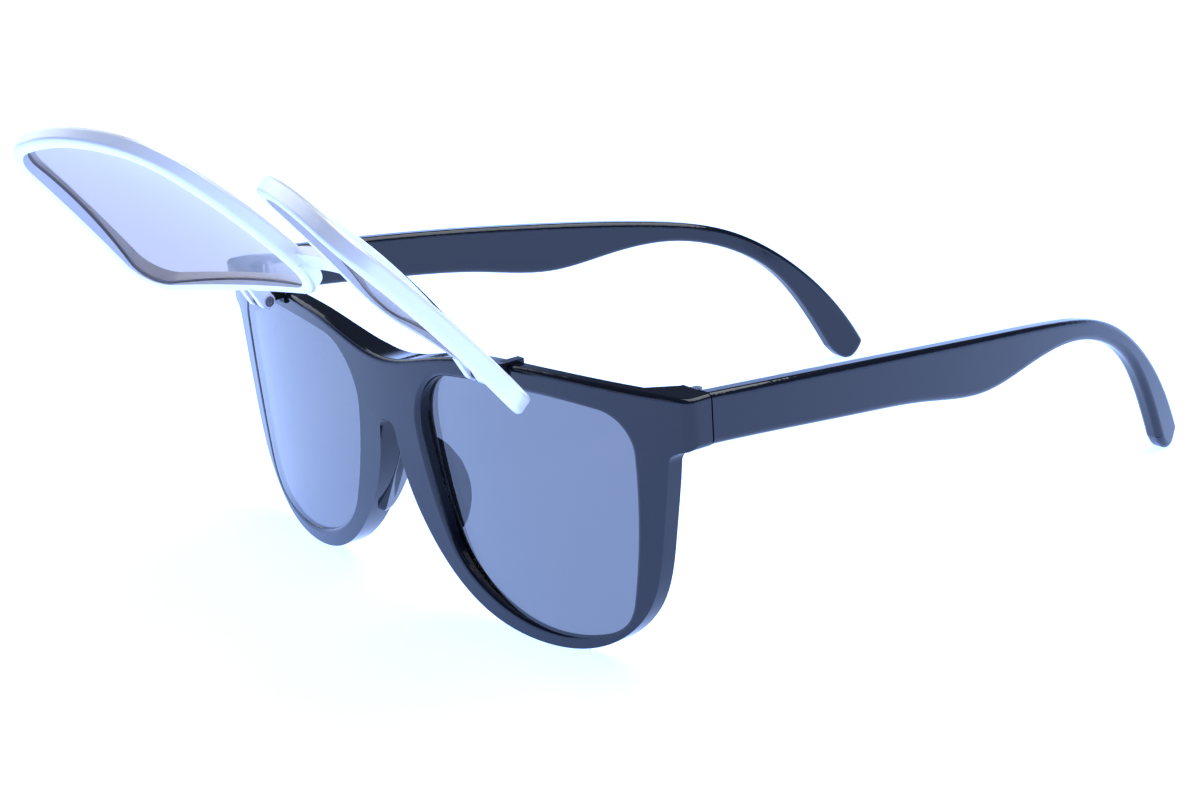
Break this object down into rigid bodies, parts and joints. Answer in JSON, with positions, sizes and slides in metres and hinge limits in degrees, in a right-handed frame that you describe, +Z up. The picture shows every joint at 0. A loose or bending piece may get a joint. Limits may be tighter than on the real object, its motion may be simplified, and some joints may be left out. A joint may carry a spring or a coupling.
{
  "type": "sunglasses with flip-up clip-on lenses",
  "caption": "Folding sunglasses with a flip-up pair of tinted clip-on lenses held over the brow by sheet-metal hooks.",
  "frame": {"origin": "centre of the footprint, on the surface that the rims and the temple tips stand on", "axes": "+X to the wearer's left, +Y backwards along the temples, +Z up"},
  "size_m": [0.1446, 0.202, 0.0904],
  "materials": {
    "frame_plastic": "polished black",
    "sun_lens_tint": "dark smoke grey",
    "hinge_steel": "satin",
    "screw_steel": "bright",
    "hook_steel": "satin grey",
    "clip_rim_satin": "satin silver white",
    "clip_bar_satin": "satin silver white",
    "clip_lens_tint": "pale smoke grey"
  },
  "bodies": {
    "front": {"front_frame": "frame_plastic", "left_sun_lens": "sun_lens_tint", "right_sun_lens": "sun_lens_tint", "left_front_hinge_leaf": "hinge_steel", "right_front_hinge_leaf": "hinge_steel", "left_temple_hinge_screw": "screw_steel", "right_temple_hinge_screw": "screw_steel"},
    "left_temple_arm": {"left_temple": "frame_plastic", "left_temple_hinge_leaf": "hinge_steel"},
    "right_temple_arm": {"right_temple": "frame_plastic", "right_temple_hinge_leaf": "hinge_steel"},
    "clip_hooks": {"left_clip_hook": "hook_steel", "right_clip_hook": "hook_steel", "left_flip_pin": "screw_steel", "right_flip_pin": "screw_steel"},
    "flip_clip": {"left_clip_rim": "clip_rim_satin", "right_clip_rim": "clip_rim_satin", "left_clip_lens": "clip_lens_tint", "right_clip_lens": "clip_lens_tint", "clip_bridge_bar": "clip_bar_satin", "left_bridge_screw": "screw_steel", "right_bridge_screw": "screw_steel"}
  },
  "joints": [
    {"name": "left_temple_fold", "type": "hinge", "parent": "front", "child": "left_temple_arm", "pos_m": [0.0664, -0.04104, 0.046], "axis": [0, 0, 1], "range_deg": [0, 84]},
    {"name": "right_temple_fold", "type": "hinge", "parent": "front", "child": "right_temple_arm", "pos_m": [-0.0664, -0.04104, 0.046], "axis": [0, 0, -1], "range_deg": [0, 78]},
    {"name": "clip_lift_off", "type": "slide", "parent": "front", "child": "clip_hooks", "axis": [0, -0.0541, 0.9985], "range_m": [0, 0.02]},
    {"name": "clip_flip", "type": "hinge", "parent": "clip_hooks", "child": "flip_clip", "pos_m": [0, -0.06244, 0.0512], "axis": [1, 0, 0], "range_deg": [-8, 137]}
  ]
}
